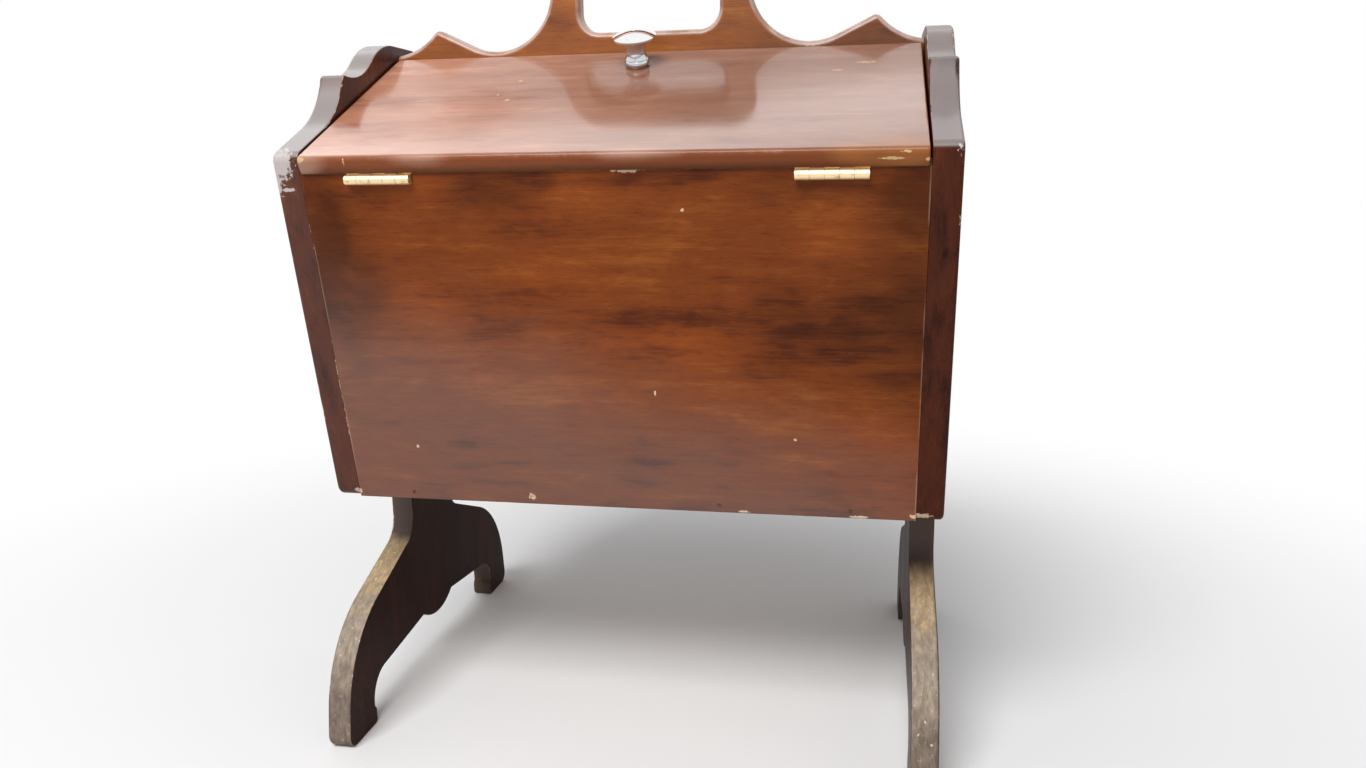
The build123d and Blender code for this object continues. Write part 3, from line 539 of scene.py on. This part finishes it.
rubbed_sheen = nodes.times(edge, nodes.blend(nodes.step(uneven, 0.30, 0.55), 0.45, 0.95))
darkened = nodes.step(nodes.swing(uneven, 0.08, nodes.split(position)[0]), *HANDLE_DARKENS)
stained = nodes.shade(grain["Colour"], nodes.plus(darkened, -0.40, 1.0))
colour = nodes.mix(nodes.times(marks["Scratches"], 0.2), stained, HANDLE_LIGHT)
bare = nodes.times(marks["Nicks"], 0.8)
nodes.wire(nodes.mix(nodes.most(rubbed_sheen, bare), colour, HANDLE_RUBBED_SHEEN), shader["Base Color"])
smear = nodes.noise(position, HANDLE_SMEAR_WAVES, detail=3.0)
nodes.wire(nodes.blend(bare, nodes.blend(smear, *HANDLE_ROUGH), NICK_ROUGH), shader["Roughness"])
shader["Specular IOR Level"].default_value = 0.42
nodes.bump(0.3, 0.0001, nodes.plus(bare, -1.5, grain["Relief"]), shader)
wear_finish(("handle_board",), finish)


# Lid rests: two plain strips glued to the handle board, which carry the upper edges of the closed lids.
# They are of the same unstained stock as the bottom.
wear_finish(("front_lid_rest", "back_lid_rest"), plain_board)


# Lids: one board each, hinged to the panel's rim, with a rounded nosing that the fingers have worn.
# The varnish is glossiest here, and the right front corner is knocked down to golden wood.
LID_DARK = (0.175, 0.0610, 0.0310, 1)
LID_MIDDLE = (0.260, 0.1080, 0.0610, 1)
LID_LIGHT = (0.350, 0.1620, 0.0990, 1)
NOSING_BROWN = (0.150, 0.0370, 0.0090, 1)
NOSING_RED = (0.180, 0.0480, 0.0140, 1)
LID_GOLDEN = (0.34, 0.130, 0.034, 1)
LID_PINK = (0.42, 0.240, 0.175, 1)
LID_CHIP = (0.56, 0.36, 0.19, 1)
LID_TONES = {"Dark": LID_DARK, "Middle": LID_MIDDLE, "Light": LID_LIGHT, "Clouds": 0.7}
LID_CUT = (0.77, 0.0, 0.41)  # shifts the grain, as in a board cut from elsewhere
LID_FACE = (0, -0.4242, 0.9056)
NOSING_SHADE_SPAN = (0.3894, 0.3844)  # along the face's own normal, from the origin
LID_SHEEN_SPAN = (0.06, -0.16)  # across, towards the left
LID_POLISHED = (-0.07, -0.15)  # across, towards the left
LID_DRIFT_WAVES = (9.0, 14.0, 14.0)
LID_SMEAR_WAVES = (5.0, 60.0, 60.0)
LID_RIPPLES = (12.0, 55.0, 55.0)
LID_ROUGH = (0.35, 0.55)
LID_COAT = (0.64, 0.40)
NOSING_COAT = 0.03
LID_DULLED = (((-0.083, -0.088, 0.3938), 0.034, (1, 1, 1)),)  # a patch where the varnish has gone dull
LID_WORN = (
    ((0.157, -0.1465, 0.3625), 0.0200, (0.75, 1, 1)),
    ((0.132, -0.1475, 0.3640), 0.0070, (0.5, 1, 1)),
)
LID_RUBBED_SHEEN = (
    ((-0.170, -0.1475, 0.3630), 0.0120, (0.8, 1, 1)),
    ((-0.100, -0.1480, 0.3660), 0.0060, (0.3, 1, 1)),
    ((0.020, -0.1480, 0.3660), 0.0050, (0.2, 1, 1)),
)
LID_CHIPS = (
    ((0.1526, -0.1464, 0.3607), 0.0009, (0.14, 1, 1)),
    ((0.1598, -0.1479, 0.3640), 0.0008, (0.22, 1, 1)),
    ((0.1412, -0.1485, 0.3653), 0.0008, (0.16, 1, 1)),
    ((0.1700, -0.1460, 0.3600), 0.0011, (0.8, 1, 1)),
    ((-0.1690, -0.1484, 0.3650), 0.0022, (1.0, 1, 0.7)),
    ((-0.1431, -0.1475, 0.3630), 0.0015, (2.2, 1, 0.6)),
    ((-0.0722, -0.0502, 0.4115), 0.0013, (0.6, 1, 1)),
    ((-0.0719, -0.0782, 0.3984), 0.0014, (0.7, 1, 1)),
    ((-0.0802, -0.0705, 0.4020), 0.0009, (1.6, 0.5, 1)),
    ((0.1376, -0.0371, 0.4177), 0.0013, (0.22, 1, 1)),
    ((0.1216, -0.0479, 0.4126), 0.0011, (0.3, 1, 1)),
)
finish, nodes, shader, surface = new_finish("lid_stain")
position = surface["Object"]
home = nodes.use(home_place, {"Position": position, "Normal": surface["Normal"]})
shifted = nodes.vector("ADD", position, LID_CUT)
grain = nodes.use(stained_grain, {"Position": shifted, **LID_TONES})
rim = {"Position": position, "Normal": home["Normal"], "Face": LID_FACE, "Wear": 0.08}
wear = nodes.use(worn_arris, rim)
marks = nodes.use(scuffs, {"Position": shifted, "Density": 0.16})
outward = nodes.along(home["Normal"], LID_FACE)
edge = nodes.times(nodes.math("SUBTRACT", 1.0, nodes.step(outward, 0.85, 0.98)), 0.9)
# The face is painted lighter on the left and darker on the right, a painted reflection; the nosing has kept
# the deep stain, and painted shade darkens it along its foot
drift = nodes.noise(position, LID_DRIFT_WAVES, detail=3.0, distortion=0.6)
across = nodes.swing(drift, 0.20, nodes.split(position)[0])
lightened = nodes.shade(grain["Colour"], nodes.blend(nodes.step(across, *LID_SHEEN_SPAN), 0.80, 1.60))
darkened_foot = nodes.step(nodes.along(home["Position"], LID_FACE), *NOSING_SHADE_SPAN)
nosing = nodes.mix(grain["Relief"], NOSING_BROWN, NOSING_RED)
nosing = nodes.shade(nosing, nodes.blend(darkened_foot, 1.15, 0.45))
colour = nodes.mix(edge, lightened, nosing)
colour = nodes.mix(nodes.times(wear["Rubbed"], 0.30), colour, LID_PINK)
# Golden worn patches, and pink rubbed patches along the nosing's left that also carry a painted highlight
for places, tint, amount in ((LID_WORN, LID_GOLDEN, 0.55), (LID_RUBBED_SHEEN, LID_PINK, 0.7)):
    for share in patches(nodes, stain_blotch, position, places):
        colour = nodes.mix(nodes.times(share, amount), colour, tint)
colour = nodes.mix(nodes.times(marks["Scratches"], 0.2), colour, LID_PINK)
chips = patches(nodes, worn_spot, position, LID_CHIPS)
bare = nodes.most(nodes.times(wear["Bare"], 0.7), nodes.times(marks["Nicks"], 0.7), *chips)
colour = nodes.mix(bare, colour, LID_CHIP)
inside = nodes.step(outward, -0.6, -0.9)
plain = nodes.use(stained_grain, {"Position": position, **INSIDE_TONES})
nodes.wire(nodes.mix(inside, colour, plain["Colour"]), shader["Base Color"])
smear = nodes.noise(position, LID_SMEAR_WAVES, detail=4.0, roughness=0.6)
dull = nodes.most(bare, inside)
nodes.wire(nodes.blend(dull, nodes.blend(smear, *LID_ROUGH), WORN_ROUGH), shader["Roughness"])
# The varnish has its polish on the face alone, most of it at the left end
end_polish = nodes.blend(nodes.step(across, *LID_POLISHED), 1.0, 1.75)
polish = nodes.times(nodes.blend(smear, *LID_COAT), end_polish)
for share in patches(nodes, stain_blotch, home["Position"], LID_DULLED):
    polish = nodes.times(polish, nodes.blend(share, 1.0, 0.35))
gloss = nodes.blend(nodes.step(outward, 0.64, 0.90), NOSING_COAT, polish)
nodes.wire(nodes.blend(dull, gloss, 0.0), shader["Coat Weight"])
shader["Coat Roughness"].default_value = 0.12
shader["Specular IOR Level"].default_value = 0.10
relief = nodes.plus(nodes.noise(position, LID_RIPPLES, detail=2.0), 5.0, grain["Relief"])
nodes.bump(0.25, 0.0001, nodes.plus(bare, -2.0, relief), shader)
wear_finish(("front_lid", "back_lid"), finish)


# Hinges: narrow brass butts let into the panel's rim, with a brass pin through five knuckles.
# The brass has gone brown in spots with old polish.
BRASS_BRIGHT = (0.91, 0.70, 0.42, 1)
BRASS_BROWN = (0.34, 0.205, 0.085, 1)
TARNISH_WAVES = (160.0, 260.0, 260.0)
BRUSH_WAVES = (3000.0, 260.0, 260.0)
BRASS_ROUGH = (0.36, 0.54)
TARNISH_ROUGH = 0.62
finish, nodes, shader, surface = new_finish("worn_brass")
position = surface["Object"]
tarnish = nodes.step(nodes.noise(position, TARNISH_WAVES, detail=5.0, roughness=0.65), 0.54, 0.74)
brushed = nodes.noise(position, BRUSH_WAVES, detail=2.0)
nodes.wire(nodes.mix(tarnish, BRASS_BRIGHT, BRASS_BROWN), shader["Base Color"])
nodes.wire(nodes.blend(tarnish, nodes.blend(brushed, *BRASS_ROUGH), TARNISH_ROUGH), shader["Roughness"])
shader["Metallic"].default_value = 1.0
nodes.bump(0.2, 0.00005, brushed, shader)
wear_finish([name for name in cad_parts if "hinge" in name], finish)


# Knobs: a turned stem with a round collar and a domed cap, chromed.
# A screw from below draws them down on the lid.
# The cap is kept bright by the hand; the stem and screw are plated a darker grey, which is painted shade.
CAP_BRIGHT = (0.92, 0.925, 0.93, 1)
CAP_DULL = (0.62, 0.62, 0.61, 1)
STEM_BRIGHT = (0.66, 0.665, 0.68, 1)
STEM_DULL = (0.30, 0.295, 0.29, 1)
# Pieces, bright and dull plating, and the roughness of each
KNOB_FINISHES = (
    (("cap",), CAP_BRIGHT, CAP_DULL, 0.08, 0.26),
    (("stem", "bolt"), STEM_BRIGHT, STEM_DULL, 0.14, 0.34),
)
PLATING_WAVES = (220.0, 220.0, 220.0)
HAIR_WAVES = (700.0, 2600.0, 900.0)
for pieces, bright, dull, polished, bloomed in KNOB_FINISHES:
    finish, nodes, shader, surface = new_finish(f"knob_{pieces[0]}_plating")
    position = surface["Object"]
    haze = nodes.step(nodes.noise(position, PLATING_WAVES, detail=5.0, roughness=0.65), 0.58, 0.82)
    lines = nodes.hairline(nodes.noise(position, HAIR_WAVES, detail=2.0, distortion=1.0), 0.02)
    nodes.wire(nodes.mix(haze, bright, dull), shader["Base Color"])
    nodes.wire(nodes.plus(lines, 0.10, nodes.blend(haze, polished, bloomed)), shader["Roughness"])
    shader["Metallic"].default_value = 1.0
    wear_finish([f"{side}_knob_{piece}" for side in ("front", "back") for piece in pieces], finish)


# Brads: thin steel nails through the end boards and the panels, punched just below the face.
# Their heads were stained over with the wood, and one low in the front has lost its filler.
BRAD_DARK = (0.085, 0.024, 0.010, 1)
BRAD_RUST = (0.160, 0.055, 0.022, 1)
OPEN_BRAD = (((-0.058, -0.1045, 0.1608), 0.004, (1, 1, 1)),)
RUST_WAVES = (900.0, 900.0, 900.0)
finish, nodes, shader, surface = new_finish("stained_steel")
position = surface["Object"]
rust = nodes.noise(position, RUST_WAVES, detail=4.0, roughness=0.7)
colour = nodes.mix(nodes.step(rust, 0.35, 0.65), BRAD_DARK, BRAD_RUST)
opened = nodes.most(*patches(nodes, worn_spot, position, OPEN_BRAD))
nodes.wire(nodes.mix(opened, colour, CHIP_PALE), shader["Base Color"])
nodes.wire(nodes.blend(rust, 0.35, 0.75), shader["Roughness"])
nodes.bump(0.5, 0.0001, rust, shader)
wear_finish(("end_board_brads", "panel_brads"), finish)


# Floor: a plain white table top, not part of the stand, that fades into the white background.
# It keeps the soft shadow of the stand.
FLOOR_WHITE = (0.86, 0.86, 0.865, 1)
FLOOR_RADIUS = 9.0
FLOOR_RINGS = 24
FLOOR_SPOKES = 96
FLOOR_FADES = (0.20, 0.85)  # out from the middle of the stand


def disc(radius, rings, spokes):
    """A flat round sheet: points at radius times the square of u, turned by v, for u and v from 0 to 1."""
    reach = radius * np.linspace(0.0, 1.0, rings + 1)[1:] ** 2
    turn = np.linspace(0.0, 2.0 * math.pi, spokes, endpoint=False)
    across = np.outer(reach, np.cos(turn))
    back = np.outer(reach, np.sin(turn))
    points = np.stack([across, back, np.zeros_like(across)], axis=-1)
    index = np.arange(rings * spokes).reshape(rings, spokes)
    ahead = np.roll(index, -1, axis=1)
    quads = np.stack([index[:-1], index[1:], ahead[1:], ahead[:-1]], axis=-1).reshape(-1, 4)
    return points.reshape(-1, 3), quads.tolist() + [index[0].tolist()]


points, faces = disc(FLOOR_RADIUS, FLOOR_RINGS, FLOOR_SPOKES)
floor_mesh = bpy.data.meshes.new("floor")
floor_mesh.from_pydata(points, [], faces)
floor = bpy.data.objects.new("floor", floor_mesh)
bpy.context.scene.collection.objects.link(floor)
paint, nodes, shader, surface = new_finish("white_table")
shader["Base Color"].default_value = FLOOR_WHITE
shader["Roughness"].default_value = 0.75
matt = paint.node_tree.nodes["Principled BSDF"]
glow = nodes.add("ShaderNodeEmission", {"Color": (1, 1, 1, 1), "Strength": 1.0})
to_camera = nodes.add("ShaderNodeLightPath").outputs["Is Camera Ray"]
lightened = nodes.times(nodes.step(nodes.length(surface["Object"]), *FLOOR_FADES), to_camera)
mixed = nodes.add("ShaderNodeMixShader", {0: lightened, 1: matt.outputs[0], 2: glow.outputs[0]})
nodes.wire(mixed.outputs[0], paint.node_tree.nodes["Material Output"].inputs["Surface"])
floor_mesh.materials.append(paint)


# Light: a large soft box high in front and to the left, and a long strip behind.
# The low part of the lid mirrors the strip, and a plain white surround fills the rest.
KEY_PLACE = (-0.32, -1.42, 1.85)
KEY_TARGET = (0.0, 0.0, 0.3)
KEY_LEVEL = (0.95, -0.31, 0.0)
KEY_SIZE = (1.3, 0.9)
KEY_WATTS = 50.0
STRIP_PLACE = (-0.50, 1.296, 2.0)
STRIP_TARGET = (-0.50, 1.296, 0.0)
STRIP_LEVEL = (0.990, 0.139, 0.0)
STRIP_SIZE = (3.6, 0.22)
STRIP_WATTS = 10.0
SURROUND_FILL = 0.27  # strength of the light it sheds
SURROUND_SEEN = 1.0  # strength to the eye and in reflections


def soft_box(name, place, target, level, size, watts):
    """A rectangular lamp at a place, facing a target point, its long side along a level direction."""
    lamp = bpy.data.lights.new(name, "AREA")
    lamp.shape = "RECTANGLE"
    lamp.size, lamp.size_y = size
    lamp.energy = watts
    box = bpy.data.objects.new(name, lamp)
    aim = np.array(place) - np.array(target)
    aim = aim / np.linalg.norm(aim)
    across = np.array(level) - np.dot(level, aim) * aim
    across = across / np.linalg.norm(across)
    turn = np.eye(4)
    turn[:3] = np.column_stack([across, np.cross(aim, across), aim, place])
    box.matrix_world = Matrix(turn)
    box.visible_camera = False
    bpy.context.scene.collection.objects.link(box)


soft_box("key_box", KEY_PLACE, KEY_TARGET, KEY_LEVEL, KEY_SIZE, KEY_WATTS)
soft_box("back_strip", STRIP_PLACE, STRIP_TARGET, STRIP_LEVEL, STRIP_SIZE, STRIP_WATTS)

world = bpy.data.worlds.new("white_surround")
bpy.context.scene.world = world
world.use_nodes = True
nodes = Nodes(world.node_tree)
path = nodes.add("ShaderNodeLightPath").outputs
seen = nodes.most(path["Is Camera Ray"], path["Is Glossy Ray"], path["Is Transmission Ray"])
sky = world.node_tree.nodes["Background"].inputs
sky["Color"].default_value = (1, 1, 1, 1)
nodes.wire(nodes.blend(seen, SURROUND_FILL, SURROUND_SEEN), sky["Strength"])


# Camera: close in front of the stand and a little to the right, looking slightly down.
# Its lens takes in the stand from the handle's foot to the floor.
EYE_PLACE = (0.1416, -0.6805, 0.3558)
YAW = math.radians(10.30)  # turned to the left
PITCH = math.radians(11.75)  # tipped down
ROLL = math.radians(-0.76)
eye = bpy.data.cameras.new("camera")
eye.sensor_fit = "HORIZONTAL"
eye.sensor_width = 36.0
eye.lens = 27.0
eye.clip_start = 0.02
camera = bpy.data.objects.new("camera", eye)
forward = np.array([-math.sin(YAW) * math.cos(PITCH), math.cos(YAW) * math.cos(PITCH), -math.sin(PITCH)])
level = np.array([math.cos(YAW), math.sin(YAW), 0.0])
above = np.cross(level, forward)
right = math.cos(ROLL) * level + math.sin(ROLL) * above
top = math.cos(ROLL) * above - math.sin(ROLL) * level
pose = np.eye(4)
pose[:3] = np.column_stack([right, top, -forward, EYE_PLACE])
camera.matrix_world = Matrix(pose)
bpy.context.scene.collection.objects.link(camera)
bpy.context.scene.camera = camera
bpy.context.scene.view_settings.view_transform = "Standard"
